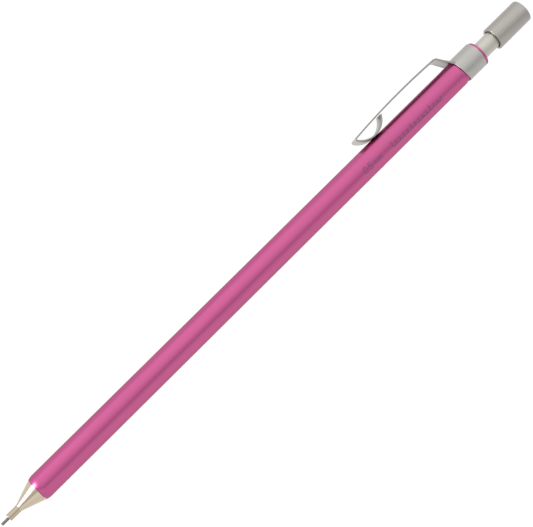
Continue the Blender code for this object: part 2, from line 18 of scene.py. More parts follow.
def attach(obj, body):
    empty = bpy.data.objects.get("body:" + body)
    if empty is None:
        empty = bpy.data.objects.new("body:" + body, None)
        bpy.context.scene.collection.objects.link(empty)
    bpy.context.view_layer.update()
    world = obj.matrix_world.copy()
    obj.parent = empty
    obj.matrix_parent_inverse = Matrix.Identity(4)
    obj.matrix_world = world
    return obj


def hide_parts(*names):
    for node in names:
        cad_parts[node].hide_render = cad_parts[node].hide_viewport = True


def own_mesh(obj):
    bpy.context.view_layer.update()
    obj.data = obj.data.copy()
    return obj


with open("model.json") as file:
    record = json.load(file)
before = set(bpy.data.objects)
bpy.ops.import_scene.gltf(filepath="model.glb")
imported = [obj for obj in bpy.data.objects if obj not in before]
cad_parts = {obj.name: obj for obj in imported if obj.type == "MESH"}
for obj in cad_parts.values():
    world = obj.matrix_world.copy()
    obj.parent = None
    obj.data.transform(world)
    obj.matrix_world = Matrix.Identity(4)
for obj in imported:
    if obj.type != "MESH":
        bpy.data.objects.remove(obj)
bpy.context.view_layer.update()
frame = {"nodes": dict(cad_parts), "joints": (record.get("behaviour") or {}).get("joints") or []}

bl_info = {
    "name": "Mechanical pencil looks",
    "version": (1, 0, 0),
    "blender": (4, 5, 0),
    "location": "3D View > Sidebar > Pencil",
    "description": "Builds the finished pieces, materials and studio of a slim mechanical pencil",
    "category": "Object",
}

MM = 0.001
JOINTS = {joint["name"]: joint for joint in frame["joints"]}

# The pencil's own axes in the frame: along it, out towards the clip, and to the side between the two
AXIS_POINT = np.array(JOINTS["tip_turn"]["pos_m"])
ALONG = -np.array(JOINTS["tip_turn"]["axis"], float)
BESIDE = -np.array(JOINTS["clip_flex"]["axis"], float)
BESIDE /= np.linalg.norm(BESIDE)
OUT = np.cross(BESIDE, ALONG)
AXES = np.array([ALONG, OUT, BESIDE])

# Direction of the key light, in the pencil's axes: past the tip and over the clip's side
KEY_SIDE = np.array([-0.60, 0.62, 0.50])
KEY_SIDE /= np.linalg.norm(KEY_SIDE)

# Edges sharper than this stay sharp, and corners this near to a size count as having it
SMOOTH_ANGLE = math.radians(28.0)
NEAR = 0.004 * MM

# The tip's straight nose: its radius, the station where it meets the cone, and the fillet there
NOSE_RADIUS = 0.71 * MM
NOSE_REAR = -4.35 * MM
NOSE_FILLET = 1.6 * MM

# The clip: how far its foot runs on into the band, past the CAD arm's end, and how square its edges are
FOOT_REACH = 0.3 * MM
EDGE_SQUARENESS = 0.4


# ---------------------------------------------------------------- measures of the CAD nodes


def cad_points(node):
    """A CAD node's corners in the pencil's axes."""
    mesh = frame["nodes"][node].data
    points = np.empty(len(mesh.vertices) * 3, np.float32)
    mesh.vertices.foreach_get("co", points)
    return (points.reshape(-1, 3).astype(float) - AXIS_POINT) @ AXES.T


def cad_outline(node):
    """Stations and distances from the axis of a CAD node's corners."""
    points = cad_points(node)
    return points[:, 0], np.hypot(points[:, 1], points[:, 2])


def ends(node):
    """First and last station of a CAD node."""
    station, _ = cad_outline(node)
    return station.min(), station.max()


def widest(node, at=None):
    """A CAD node's largest radius, of all its corners or of those at one station."""
    station, radius = cad_outline(node)
    return radius.max() if at is None else radius[abs(station - at) < NEAR].max()


def narrowest(node, at=None):
    """A CAD node's smallest radius, of all its corners or of those at one station."""
    station, radius = cad_outline(node)
    return radius.min() if at is None else radius[abs(station - at) < NEAR].min()


def stations(node, radius):
    """The stations, in order, at which a CAD node has corners at this radius."""
    station, distance = cad_outline(node)
    found = station[abs(distance - radius) < NEAR]
    return np.unique(np.round(found / MM, 3)) * MM


# ---------------------------------------------------------------- shapes


def unit(vectors):
    """Vectors divided by their lengths; one without length stays as it is."""
    length = np.linalg.norm(vectors, axis=-1, keepdims=True)
    return vectors / np.where(length < 1e-12, 1.0, length)


def rounded(corners, closed=True):
    """Outline through corners (station, radius, rounding), given in metres.

    At each corner the points run on an arc of that rounding that touches both sides: the arc's centre lies
    on the corner's bisector, rounding / sin(half the corner's angle) from the corner.
    """
    table = np.array(corners, float)
    if not closed:
        table[[0, -1], 2] = 0.0
    corner, rounding = table[:, :2], table[:, 2:]
    back = unit(np.roll(corner, 1, 0) - corner)
    onward = unit(np.roll(corner, -1, 0) - corner)
    half = np.arccos(np.clip((back * onward).sum(1, keepdims=True), -1.0, 1.0)) / 2
    inward = unit(back + onward)
    sideways = unit(onward - (onward * inward).sum(1, keepdims=True) * inward)
    centre = corner + inward * rounding / np.sin(np.maximum(half, 0.01))
    steps = bpy.context.scene.pencil_sizes.arc_steps
    sweep = (np.pi / 2 - half) * np.linspace(-1.0, 1.0, steps + 1)
    arcs = centre[:, None] + rounding[:, None] * (
        sideways[:, None] * np.sin(sweep)[..., None] - inward[:, None] * np.cos(sweep)[..., None]
    )
    points = arcs.reshape(-1, 2)
    gap = np.linalg.norm(points - np.roll(points, 1, 0), axis=1)
    gap[0] = max(gap[0], 1.0) if not closed else gap[0]
    return points[gap > 1e-8]


def straight(start, end, count):
    """Outline points at even steps from start to end, both (station, radius); the end is left out."""
    share = np.linspace(0.0, 1.0, count, endpoint=False)[:, None]
    return np.array(start) + (np.array(end) - np.array(start)) * share


def revolved(outline, relief=None):
    """An outline turned about the axis: at turn a, a point is (station, radius cos a, radius sin a).

    relief(station, turn) is added to the radius.
    """
    turn = np.linspace(0.0, 2 * np.pi, bpy.context.scene.pencil_sizes.sides, endpoint=False)
    radius = outline[:, 1:] + (relief(outline[:, :1], turn) if relief else np.zeros_like(turn))
    station = np.broadcast_to(outline[:, :1], radius.shape)
    return np.stack([station, radius * np.cos(turn), radius * np.sin(turn)], -1)


def bush(node, front_bore, front_edge, rear_edge, rear_bore):
    """Outline of a plain bush: a CAD node's ends, bore and radius, and the roundings of its four edges."""
    front, rear = ends(node)
    bore, radius = narrowest(node), widest(node)
    return rounded([
        (front, bore, front_bore),
        (front, radius, front_edge),
        (rear, radius, rear_edge),
        (rear, bore, rear_bore),
    ])


def screw_thread(start, end, pitch, depth):
    """Relief of a right-hand thread: a triangle wave of (station / pitch - turns), depth deep at its roots.

    It fades in and out over one pitch at its two ends.
    """

    def relief(station, turn):
        wave = abs(2 * ((station / pitch - turn / (2 * np.pi)) % 1.0) - 1)
        fade = np.clip(np.minimum(station - start, end - station) / pitch, 0.0, 1.0)
        return -depth * (1 - wave) * fade

    return relief


def tube(path, radius, steps=12):
    """A round wire along a path: rings of this radius square to the path's direction."""
    direction = unit(np.gradient(path, axis=0))
    first = unit(path * [0.0, 1.0, 1.0])
    second = np.cross(direction, first)
    turn = np.linspace(0.0, 2 * np.pi, steps, endpoint=False)[:, None]
    ring = first[:, None] * np.cos(turn) + second[:, None] * np.sin(turn)
    return path[:, None] + radius * ring


def volume(points, faces):
    """Signed volume under faces of equal size, each split into a fan from its first corner."""
    first = points[faces[:, :1]]
    second, third = points[faces[:, 1:-1]], points[faces[:, 2:]]
    return (first * np.cross(second, third)).sum() / 6


def surface(grid, closed):
    """Faces of a grid of points whose columns join up round it: (quads, end faces), pointing outwards.

    With closed, its rows join up too. Otherwise the first and last row are each filled by one face.
    """
    rows, columns = grid.shape[:2]
    number = np.arange(rows * columns).reshape(rows, columns)
    below = np.roll(number, -1, 0) if closed else number[1:]
    above = number if closed else number[:-1]
    quads = np.stack([above, np.roll(above, -1, 1), np.roll(below, -1, 1), below], -1).reshape(-1, 4)
    caps = np.empty((0, columns), int) if closed else np.stack([number[0, ::-1], number[-1]])
    points = grid.reshape(-1, 3)
    if volume(points, quads) + volume(points, caps) < 0:
        quads, caps = quads[:, ::-1], caps[:, ::-1]
    return quads, caps


def make_piece(name, material, body, nodes, grids):
    """Meshes grids of points in the pencil's axes as one piece, which rides on a body for these CAD nodes."""
    points, faces, start = [], [], 0
    for grid, closed in grids:
        quads, caps = surface(grid, closed)
        faces += (quads + start).tolist() + (caps + start).tolist()
        points.append(grid.reshape(-1, 3) @ AXES + AXIS_POINT)
        start += len(points[-1])
    mesh = bpy.data.meshes.new(name)
    mesh.from_pydata(np.concatenate(points).tolist(), [], faces)
    mesh.materials.append(material)
    mesh.shade_smooth()
    mesh.set_sharp_from_angle(angle=SMOOTH_ANGLE)
    piece = bpy.data.objects.new(name, mesh)
    bpy.context.scene.collection.objects.link(piece)
    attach(piece, body)
    if nodes:
        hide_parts(*nodes)
    return piece


def make_turned(name, material, body, node, outline, relief=None):
    """A closed outline turned about the axis, as a piece that stands for one CAD node."""
    return make_piece(name, material, body, [node], [(revolved(outline, relief), True)])


# ---------------------------------------------------------------- materials


def linear(code):
    """An sRGB hex colour as linear red, green and blue."""
    value = np.array([int(code[i : i + 2], 16) for i in (1, 3, 5)]) / 255
    return tuple(np.where(value <= 0.04045, value / 12.92, ((value + 0.055) / 1.055) ** 2.4))


def add(tree, kind, inputs=None, **settings):
    """Adds a node. settings are its own properties; inputs are its sockets' values or the sockets to link."""
    node = tree.nodes.new(kind)
    for key, value in settings.items():
        setattr(node, key, value)
    for key, value in (inputs or {}).items():
        if isinstance(value, bpy.types.NodeSocket):
            tree.links.new(value, node.inputs[key])
        else:
            node.inputs[key].default_value = value
    return node


def new_material(name):
    """An empty material. Returns it, its node tree and its Object coordinates."""
    material = bpy.data.materials.get(name)
    if material:
        bpy.data.materials.remove(material)
    material = bpy.data.materials.new(name)
    material.use_nodes = True
    tree = material.node_tree
    tree.nodes.clear()
    return material, tree, add(tree, "ShaderNodeTexCoord").outputs["Object"]


def close_material(tree, **inputs):
    """Adds the Principled shader and the output. A name's underscores stand for the socket's spaces."""
    shader = add(tree, "ShaderNodeBsdfPrincipled", {key.replace("_", " "): v for key, v in inputs.items()})
    add(tree, "ShaderNodeOutputMaterial", {"Surface": shader.outputs[0]})


def grain(tree, place, size, detail=3.0):
    """Noise whose grains measure size (along, across, across) in metres: a socket from 0 to 1."""
    scaled = add(tree, "ShaderNodeMapping", {"Vector": place, "Scale": [1 / s for s in size]})
    return add(
        tree,
        "ShaderNodeTexNoise",
        {"Vector": scaled.outputs[0], "Scale": 1.0, "Detail": detail, "Roughness": 0.55},
    ).outputs[0]


def between(tree, factor, low, high):
    """Turns a 0 to 1 pattern into numbers from low to high; the middle half of a noise fills the range."""
    return add(
        tree,
        "ShaderNodeMapRange",
        {"Value": factor, "From Min": 0.25, "From Max": 0.75, "To Min": low, "To Max": high},
    ).outputs[0]


def tinted(tree, factor, dark, light):
    """Mixes two colours by a 0 to 1 pattern."""
    ramp = add(tree, "ShaderNodeValToRGB", {"Fac": factor})
    ramp.color_ramp.elements[0].position = 0.3
    ramp.color_ramp.elements[1].position = 0.7
    ramp.color_ramp.elements[0].color = (*dark, 1.0)
    ramp.color_ramp.elements[1].color = (*light, 1.0)
    return ramp.outputs[0]


def raised(tree, pattern, height):
    """Bump of a pattern, height in metres from its lowest to its highest value."""
    return add(
        tree, "ShaderNodeBump", {"Height": pattern, "Distance": height, "Strength": 1.0}
    ).outputs[0]


def shade(colour, share):
    """A colour made darker or lighter by a share."""
    return tuple(min(channel * share, 1.0) for channel in colour)


def patterned(name, pair, mottle, texture, roughness, height=0.0, **inputs):
    """A material of two patterns, each given by its grains' size in millimetres.

    mottle, with its detail, mixes the pair of tones. texture drives the roughness, and the bump where there
    is a height in millimetres.
    """
    material, tree, place = new_material(name)
    size, detail = mottle
    tint = grain(tree, place, [length * MM for length in size], detail)
    lines = grain(tree, place, [length * MM for length in texture])
    if height:
        inputs["Normal"] = raised(tree, lines, height * MM)
    close_material(
        tree, Base_Color=tinted(tree, tint, *pair), Roughness=between(tree, lines, *roughness), **inputs
    )
    return material


def tones(colour, spread):
    """A darker and a lighter tone of a colour, this share to either side of it."""
    return shade(colour, 1 - spread), shade(colour, 1 + spread)


def anodised_aluminium(colours):
    """Drawn aluminium tube, etched, anodised and dyed pink.

    The dyed oxide gives a coloured metal with soft reflections; its clear sealed skin adds a faint white
    gloss. Drawing leaves fine lines along the tube, 0.06 mm apart here so that they show.
    """
    return patterned(
        "dyed_anodised_aluminium",
        tones(colours.barrel, 0.04),
        mottle=((14, 1.5, 1.5), 2.0),
        texture=(8, 0.06, 0.06),
        roughness=(0.29, 0.37),
        height=0.0006,
        Metallic=1.0,
        Specular_Tint=(0.45, 0.12, 0.25, 1.0),
        Coat_Weight=0.55,
        Coat_Roughness=0.14,
        Coat_IOR=1.75,
    )


def nickel_plate(colours):
    """Turned brass, nickel plated thinly over the polished surface, so that it stays a little warm.

    It mirrors the studio in long stripes. The turning tool leaves fine rings, 0.05 mm apart here. The nose's
    colour is made a fifth darker than the cone's.
    """
    material, tree, place = new_material("nickel_plated_brass")
    rings = grain(tree, place, (0.05 * MM, 6 * MM, 6 * MM))
    station = add(tree, "ShaderNodeSeparateXYZ", {0: place}).outputs["X"]
    cone_start, fade = AXIS_POINT[0] + NOSE_REAR, 0.3 * MM
    # The nose's colour is a fifth darker than the cone's, blending over 0.3 mm either side of where they
    # meet.
    worn_end_and_darker_nose = add(tree, "ShaderNodeMapRange", {
        "Value": station,
        "From Min": cone_start - fade,
        "From Max": cone_start + fade,
    }).outputs[0]
    close_material(
        tree,
        Base_Color=tinted(tree, worn_end_and_darker_nose, shade(colours.tip, 0.8), shade(colours.tip, 1.0)),
        Metallic=1.0,
        Roughness=between(tree, rings, 0.08, 0.12),
        Normal=raised(tree, rings, 0.0002 * MM),
    )
    return material


def satin_steel(colours, name, face_light_share, edge_shade_share):
    """Stainless strip with a rolled satin finish: soft grey reflections, with fine rolling lines along it.

    face_light_share and edge_shade_share are shares of its colour for the faces and for the sheared edges,
    which face to
    the side: painted light on the faces and painted shade on the edges, set by which way the surface faces.
    """
    material, tree, place = new_material(name)
    lines = grain(tree, place, (5 * MM, 0.05 * MM, 0.05 * MM))
    clouds = grain(tree, place, (3 * MM, 1.2 * MM, 1.2 * MM), 2.0)
    rolled = tinted(tree, clouds, *tones(colours.clip, 0.04))
    # Painted light and shade: the colour is scaled by which way the surface faces, face_light_share where it
    # faces away from the side and edge_shade_share where it faces to the side.
    normal = add(tree, "ShaderNodeNewGeometry").outputs["Normal"]
    facing = add(tree, "ShaderNodeVectorMath", {0: normal, 1: tuple(BESIDE)}, operation="DOT_PRODUCT")
    sideways = add(tree, "ShaderNodeMath", {0: facing.outputs["Value"]}, operation="ABSOLUTE")
    side_facing_shade = add(tree, "ShaderNodeMapRange", {
        "Value": sideways.outputs[0],
        "From Min": 0.6,
        "From Max": 0.9,
        "To Min": face_light_share,
        "To Max": edge_shade_share,
    })
    light_and_shade_colour = add(tree, "ShaderNodeVectorMath", {0: rolled, "Scale": side_facing_shade.outputs[0]}, operation="SCALE")
    close_material(
        tree,
        Base_Color=light_and_shade_colour.outputs[0],
        Metallic=1.0,
        Roughness=between(tree, lines, 0.3, 0.4),
        Normal=raised(tree, lines, 0.0008 * MM),
    )
    return material


def drawn_cap_steel(colours):
    """Cap drawn from thin steel and brushed along its length: streaks of light and dark 0.15 mm wide."""
    material, tree, place = new_material("brushed_drawn_steel")
    streaks = grain(tree, place, (9 * MM, 0.15 * MM, 0.15 * MM), 4.0)
    lines = grain(tree, place, (4 * MM, 0.04 * MM, 0.04 * MM))
    close_material(
        tree,
        Base_Color=tinted(tree, streaks, *tones(colours.cap, 0.07)),
        Metallic=1.0,
        Roughness=between(tree, lines, 0.3, 0.42),
        Normal=raised(tree, streaks, 0.0015 * MM),
    )
    return material


def plain_brass():
    """Free-cutting brass, turned and left plain: yellow metal, fine rings, a little tarnish in patches."""
    return patterned(
        "turned_brass",
        (linear("#B08D4A"), linear("#CDAA62")),
        mottle=((1.5, 1, 1), 3.0),
        texture=(0.06, 5, 5),
        roughness=(0.24, 0.36),
        height=0.0008,
        Metallic=1.0,
    )


def spring_wire():
    """Hard drawn spring steel: grey wire with a dull polish and faint die marks."""
    return patterned(
        "drawn_spring_steel",
        (linear("#9C9C9E"), linear("#B4B4B6")),
        mottle=((0.3, 0.3, 0.3), 3.0),
        texture=(0.3, 0.3, 0.3),
        roughness=(0.25, 0.38),
        Metallic=1.0,
    )


def clear_anodised(colours):
    """Drawn aluminium tube with a clear anodised skin: pale satin metal with fine lines along it."""
    return patterned(
        "clear_anodised_aluminium",
        tones(colours.stem, 0.03),
        mottle=((10, 0.08, 0.08), 3.0),
        texture=(10, 0.08, 0.08),
        roughness=(0.4, 0.5),
        height=0.0008,
        Metallic=1.0,
        Coat_Weight=0.4,
        Coat_Roughness=0.3,
        Coat_IOR=1.6,
    )


def moulded_acetal():
    """White acetal, injection moulded: smooth and waxy, with a faint spark-eroded texture from the mould."""
    return patterned(
        "moulded_acetal",
        (linear("#DEDDD8"), linear("#E8E7E2")),
        mottle=((0.08, 0.08, 0.08), 3.0),
        texture=(0.08, 0.08, 0.08),
        roughness=(0.38, 0.5),
        height=0.001,
        IOR=1.48,
    )


def moulded_rubber():
    """Black nitrile rubber, moulded: matt, with a dusty bloom in patches."""
    return patterned(
        "moulded_nitrile_rubber",
        (linear("#1A1A1B"), linear("#2A2A2B")),
        mottle=((0.2, 0.2, 0.2), 3.0),
        texture=(0.2, 0.2, 0.2),
        roughness=(0.6, 0.78),
        height=0.003,
        IOR=1.52,
    )


def vinyl_eraser():
    """White vinyl, extruded and cut: matt and chalky, with graphite smudges that are a little greyer."""
    return patterned(
        "vinyl_eraser",
        (linear("#DAD8D3"), linear("#F0EFEB")),
        mottle=((0.7, 0.5, 0.5), 2.0),
        texture=(0.1, 0.1, 0.1),
        roughness=(0.7, 0.88),
        height=0.004,
        IOR=1.53,
    )


def extruded_graphite(colours):
    """Fired graphite lead, extruded: dark grey with a soft metallic sheen and faint lines along it."""
    return patterned(
        "extruded_graphite",
        tones(colours.lead, 0.15),
        mottle=((1.5, 0.05, 0.05), 3.0),
        texture=(1.5, 0.05, 0.05),
        roughness=(0.35, 0.5),
        height=0.002,
        Metallic=0.7,
    )


def printing_ink(colours):
    """Pad-printed violet ink: thin, satin, and a little uneven where the pad lifted."""
    return patterned(
        "pad_printed_ink",
        tones(colours.ink, 0.15),
        mottle=((0.12, 0.12, 0.12), 3.0),
        texture=(0.12, 0.12, 0.12),
        roughness=(0.35, 0.5),
        IOR=1.5,
    )


# ---------------------------------------------------------------- settings


def colour_setting(name, code, description):
    """A colour that a user may change, given as sRGB hex."""
    return FloatVectorProperty(
        name=name, description=description, subtype="COLOR", size=3, min=0.0, max=1.0, default=linear(code)
    )


def length_setting(name, value, description):
    """A length that a user may change, in metres."""
    return FloatProperty(
        name=name,
        description=description,
        default=value,
        min=0.0,
        subtype="DISTANCE",
        unit="LENGTH",
        precision=6,
    )


class PencilSizes(PropertyGroup):
    """Fineness of the meshes, and sizes of the details that the CAD leaves plain."""

    sides: IntProperty(
        name="Sides", description="Steps round each turned piece", default=96, min=24, max=256
    )
    arc_steps: IntProperty(
        name="Arc steps", description="Steps in each rounded edge", default=8, min=2, max=24
    )
    front_sweep: length_setting("Front sweep", 1.15 * MM, "Length over which the barrel's front draws in")
    thread_pitch: length_setting("Thread pitch", 0.5 * MM, "How far the tip unscrews in one turn")
    thread_depth: length_setting("Thread depth", 0.16 * MM, "Depth of the thread on the tip's spigot")
    broken_edge: length_setting("Broken edge", 0.04 * MM, "Rounding of edges that are only deburred")
    mark_height: length_setting("Mark height", 1.2 * MM, "Height of the printed lead size")
    mark_stroke: length_setting("Mark stroke", 0.2 * MM, "Width of the printed strokes")
    mark_start: length_setting("Mark start", 80.7 * MM, "Station at which the printed lead size starts")
    scale_start: length_setting("Scale start", 88.0 * MM, "Station at which the printed scale starts")
    neck_run: length_setting("Neck run", 2.2 * MM, "How far along the pencil the clip's neck takes to rise")
    bend_rounding: length_setting("Bend rounding", 1.0 * MM, "Rounding of the clip between neck and strip")
    fold_rounding: length_setting("Fold rounding", 0.22 * MM, "Rounding of the fold at the clip's end")


class PencilColours(PropertyGroup):
    """Colours of the visible finishes."""

    barrel: colour_setting("Barrel", "#AE427A", "Dyed oxide of the barrel and the tail ring")
    tip: colour_setting("Tip", "#C0B39F", "Plating of the tip cone")
    clip: colour_setting("Clip", "#A4A29E", "Satin steel of the clip and its band")
    cap: colour_setting("Cap", "#9C9994", "Brushed steel of the push cap")
    stem: colour_setting("Lead tube", "#B1AEA6", "Clear anodised aluminium of the lead tube")
    lead: colour_setting("Lead", "#6F6762", "Graphite")
    ink: colour_setting("Ink", "#643562", "Printed marks")


class StudioSettings(PropertyGroup):
    """Camera and light."""

    focal_length: FloatProperty(
        name="Focal length", description="Camera lens", default=107.9, min=10.0, unit="CAMERA"
    )
    camera_height: length_setting("Camera height", 280.1 * MM, "Camera's distance over the barrel's front")
    aim_station: length_setting("Aim station", 56.5 * MM, "Station that the camera looks at")
    aim_side: FloatProperty(
        name="Aim side",
        description="How far out of the axis, towards the clip, the camera looks",
        default=-0.06 * MM,
        unit="LENGTH",
        precision=6,
    )
    camera_turn: FloatProperty(
        name="Camera turn",
        description="Angle at which the pencil crosses the picture",
        default=math.radians(44.7),
        subtype="ANGLE",
    )
    dome: FloatProperty(name="Dome", description="Brightness of the studio round it", default=1.0, min=0.0)
    key: FloatProperty(name="Key", description="Brightness of the key's soft glow", default=14.0, min=0.0)
    floor_glow: FloatProperty(
        name="Floor glow", description="Light of the lit table under it", default=0.98, min=0.0
    )


# ---------------------------------------------------------------- pieces


class PencilOperator(Operator):
    """Shared by the operators: they change the scene, and can be undone."""

    bl_options = {"REGISTER", "UNDO"}


class PENCIL_OT_barrel(PencilOperator):
    """Anodised tube: front edge swept in, a screw thread in its mouth and a neck for the clip's band"""

    bl_idname = "pencil.barrel"
    bl_label = "Barrel"

    def execute(self, context):
        sizes = context.scene.pencil_sizes
        front, rear = ends("barrel")
        radius = widest("barrel")
        mouth = widest("barrel", front)
        taper_start = stations("barrel", radius)[-1]
        neck = widest("barrel", rear)
        neck_start = stations("barrel", neck)[0]
        bore, wide_bore = narrowest("barrel"), narrowest("barrel", front)
        _, front_depth, rear_depth, _ = stations("barrel", wide_bore)
        thread_end = front_depth - 3 * MM
        lean = np.linspace(0.0, 1.0, 4 * sizes.arc_steps, endpoint=False)
        sweep_end = front + sizes.front_sweep
        swept_in = (radius - mouth) * (1 - lean) ** 2
        sweep = np.stack([front + sizes.front_sweep * lean, radius - swept_in], 1)
        edge = sizes.broken_edge
        outside = rounded([
            (sweep_end, radius, 0),
            (taper_start, radius, 2 * edge),
            (neck_start, neck, 0),
            (rear, neck, edge),
            (rear, wide_bore, edge),
            (rear_depth, wide_bore, 0),
            (rear_depth, bore, 0),
            (front_depth, bore, 0),
            (front_depth, wide_bore, 0),
            (thread_end, wide_bore, 0),
        ], closed=False)
        threaded = straight((thread_end, wide_bore), (front, wide_bore), 120)
        outline = np.concatenate([sweep, outside[:-1], threaded[:-1], [[front, wide_bore + edge]]])
        thread_start, thread_height = sweep_end + 0.2 * MM, 0.1 * MM
        relief = screw_thread(thread_start, thread_end, sizes.thread_pitch, -thread_height)

        def inside_only(station, turn):
            return relief(station, turn) * (outline[:, 1:] < wide_bore + edge / 2)

        material = anodised_aluminium(context.scene.pencil_colours)
        make_turned("pink_barrel", material, "barrel", "barrel", outline, inside_only)
        return {"FINISHED"}


class PENCIL_OT_tail_ring(PencilOperator):
    """Anodised ring behind the clip's band, with its guide spigot"""

    bl_idname = "pencil.tail_ring"
    bl_label = "Tail ring"

    def execute(self, context):
        edge = context.scene.pencil_sizes.broken_edge
        front, rear = ends("tail_ring")
        bore, radius = narrowest("tail_ring"), widest("tail_ring")
        spigot = widest("tail_ring", front)
        flange = stations("tail_ring", spigot)[-1]
        outline = rounded([
            (front, bore, edge),
            (front, spigot, edge),
            (flange, spigot, 0),
            (flange, radius, 2 * edge),
            (rear, radius, 4 * edge),
            (rear, bore, 2 * edge),
        ])
        material = bpy.data.materials["dyed_anodised_aluminium"]
        make_turned("pink_tail_ring", material, "barrel", "tail_ring", outline)
        return {"FINISHED"}


def stroke(path, width, radius, facing, closed=False):
    """A printed stroke: a strip of this width along a path (station, height round the barrel).

    Height h lies at the angle facing - h / radius round the barrel.
    """
    step = np.roll(path, -1, 0) - np.roll(path, 1, 0) if closed else np.gradient(path, axis=0)
    across = unit(step)[:, ::-1] * [-1.0, 1.0]
    side = np.array([1, 1, -1, -1])[:, None] * width / 2
    flat = path[:, None] + across[:, None] * side
    layer = radius + np.array([-0.03, 0.008, 0.008, -0.03]) * MM
    turn = facing - flat[..., 1] / radius
    return np.stack([flat[..., 0], layer * np.cos(turn), layer * np.sin(turn)], -1), closed


class PENCIL_OT_size_mark(PencilOperator):
    """Lead size and a plain scale, printed on the barrel"""

    bl_idname = "pencil.size_mark"
    bl_label = "Size mark"

    def execute(self, context):
        sizes = context.scene.pencil_sizes
        height, width = sizes.mark_height, sizes.mark_stroke
        radius = widest("barrel")
        facing = math.radians(107.0)
        turn = np.linspace(0.0, 2 * np.pi, 40, endpoint=False)
        half = np.array([0.3, 0.5]) * height
        nought = np.stack([np.cos(turn), np.sin(turn)], 1) * half
        point = np.stack([np.cos(turn), np.sin(turn)], 1) * width * 0.3
        bowl_turn = np.linspace(0.72 * np.pi, -0.72 * np.pi, 30)
        bowl = np.stack([np.cos(bowl_turn) * 0.33 - 0.02, np.sin(bowl_turn) * 0.33 - 0.17], 1)
        five = np.concatenate([[[0.27, 0.5], [0.0, 0.5], [-0.2, 0.5], [-0.24, 0.2]], bowl]) * height
        stem = np.stack([np.zeros(8), np.linspace(-0.5, 0.1, 8)], 1) * height
        arch_turn = np.linspace(np.pi, 0.0, 16)
        arch = np.stack([0.15 + 0.15 * np.cos(arch_turn), 0.17 * np.sin(arch_turn) - 0.07], 1)
        hump = np.concatenate([arch, [[0.3, -0.3], [0.3, -0.5]]]) * height
        figures = [
            (nought, 0.32, 0.9, True),
            (point + [0.0, 0.6 * width - half[1]], 0.87, 0.6, True),
            (five, 1.36, 0.9, False),
        ]
        for letter in (2.2, 3.08):
            figures += [(stem, letter, 0.75, False), (hump, letter, 0.75, False)]
            figures += [(hump, letter + 0.3, 0.75, False)]
        grids = []
        for path, place, weight, closed in figures:
            offset = [sizes.mark_start + place * height, 0.0]
            grids.append(stroke(path + offset, width * weight, radius, facing, closed))
        ticks, tall, short, foot = 14, 1.1 * MM, 0.65 * MM, -0.5 * MM
        for tick in range(ticks):
            station = sizes.scale_start + tick * MM
            rise = np.linspace(foot, foot + (short if tick % 5 else tall), 8)
            grids.append(stroke(np.stack([np.full(8, station), rise], 1), width, radius, facing))
        run = np.linspace(sizes.scale_start, sizes.scale_start + (ticks - 1) * MM, 60)
        base = np.stack([run, np.full(60, 1.1 * foot)], 1)
        grids.append(stroke(base, width, radius, facing))
        material = printing_ink(context.scene.pencil_colours)
        make_piece("printed_size_mark", material, "barrel", [], grids)
        return {"FINISHED"}


class PENCIL_OT_tip_cone(PencilOperator):
    """Turned and plated tip: nose, cone, and a spigot with a real right-hand thread"""

    bl_idname = "pencil.tip_cone"
    bl_label = "Tip cone"

    def execute(self, context):
        sizes = context.scene.pencil_sizes
        edge = sizes.broken_edge
        front, rear = ends("tip_cone")
        lead_bore, cavity = narrowest("tip_cone"), narrowest("tip_cone", rear)
        base = widest("tip_cone")
        shoulder = stations("tip_cone", base)[0]
        spigot = narrowest("tip_cone", shoulder)
        seat = 0.9 * MM
        seat_front, seat_rear = stations("tip_cone", seat)
        cavity_front = stations("tip_cone", cavity)[0]
        pitch = sizes.thread_pitch
        undercut = shoulder + 0.5 * MM
        thread_start, thread_end = undercut + 0.15 * MM, rear - 0.3 * MM
        nose_part = rounded([
            (front + 0.15 * MM, lead_bore, 0),
            (front, lead_bore + 0.1 * MM, edge / 2),
            (front, NOSE_RADIUS, 3 * edge),
            (NOSE_REAR, NOSE_RADIUS, NOSE_FILLET),
            (shoulder, base, edge),
            (shoulder, spigot - 0.2 * MM, edge),
            (undercut, spigot - 0.2 * MM, 0),
            (thread_start, spigot, 0),
            (thread_end, spigot, 0),
        ], closed=False)
        threaded = straight((thread_start, spigot), (thread_end, spigot), 110)
        inside = rounded([
            (thread_end, spigot, 0),
            (rear, spigot - 0.25 * MM, edge),
            (rear, cavity, edge),
            (cavity_front, cavity, 0),
            (seat_rear, seat, 0),
            (seat_front, seat, 0),
            (seat_front, lead_bore, 0),
            (front + 0.15 * MM, lead_bore, 0),
        ], closed=False)
        outline = np.concatenate([nose_part[:-2], threaded, inside[:-1]])
        relief = screw_thread(undercut, rear - 0.1 * MM, pitch, sizes.thread_depth)

        def outside_only(station, turn):
            return relief(station, turn) * (outline[:, 1:] > spigot - NEAR)

        material = nickel_plate(context.scene.pencil_colours)
        make_turned("plated_tip_cone", material, "tip", "tip_cone", outline, outside_only)
        return {"FINISHED"}


class PENCIL_OT_lead_retainer(PencilOperator):
    """Rubber bush in the tip, with a funnel for the lead"""

    bl_idname = "pencil.lead_retainer"
    bl_label = "Lead retainer"

    def execute(self, context):
        front, rear = ends("lead_retainer")
        bore, radius = narrowest("lead_retainer"), widest("lead_retainer")
        mouth = narrowest("lead_retainer", rear)
        funnel = stations("lead_retainer", bore)[-1]
        soft = 0.08 * MM
        outline = rounded([
            (front, bore, soft / 2),
            (front, radius, soft),
            (rear, radius, soft),
            (rear, mouth, soft / 2),
            (funnel, bore, soft),
        ])
        material = moulded_rubber()
        make_turned("rubber_lead_retainer", material, "retainer", "lead_retainer", outline)
        return {"FINISHED"}


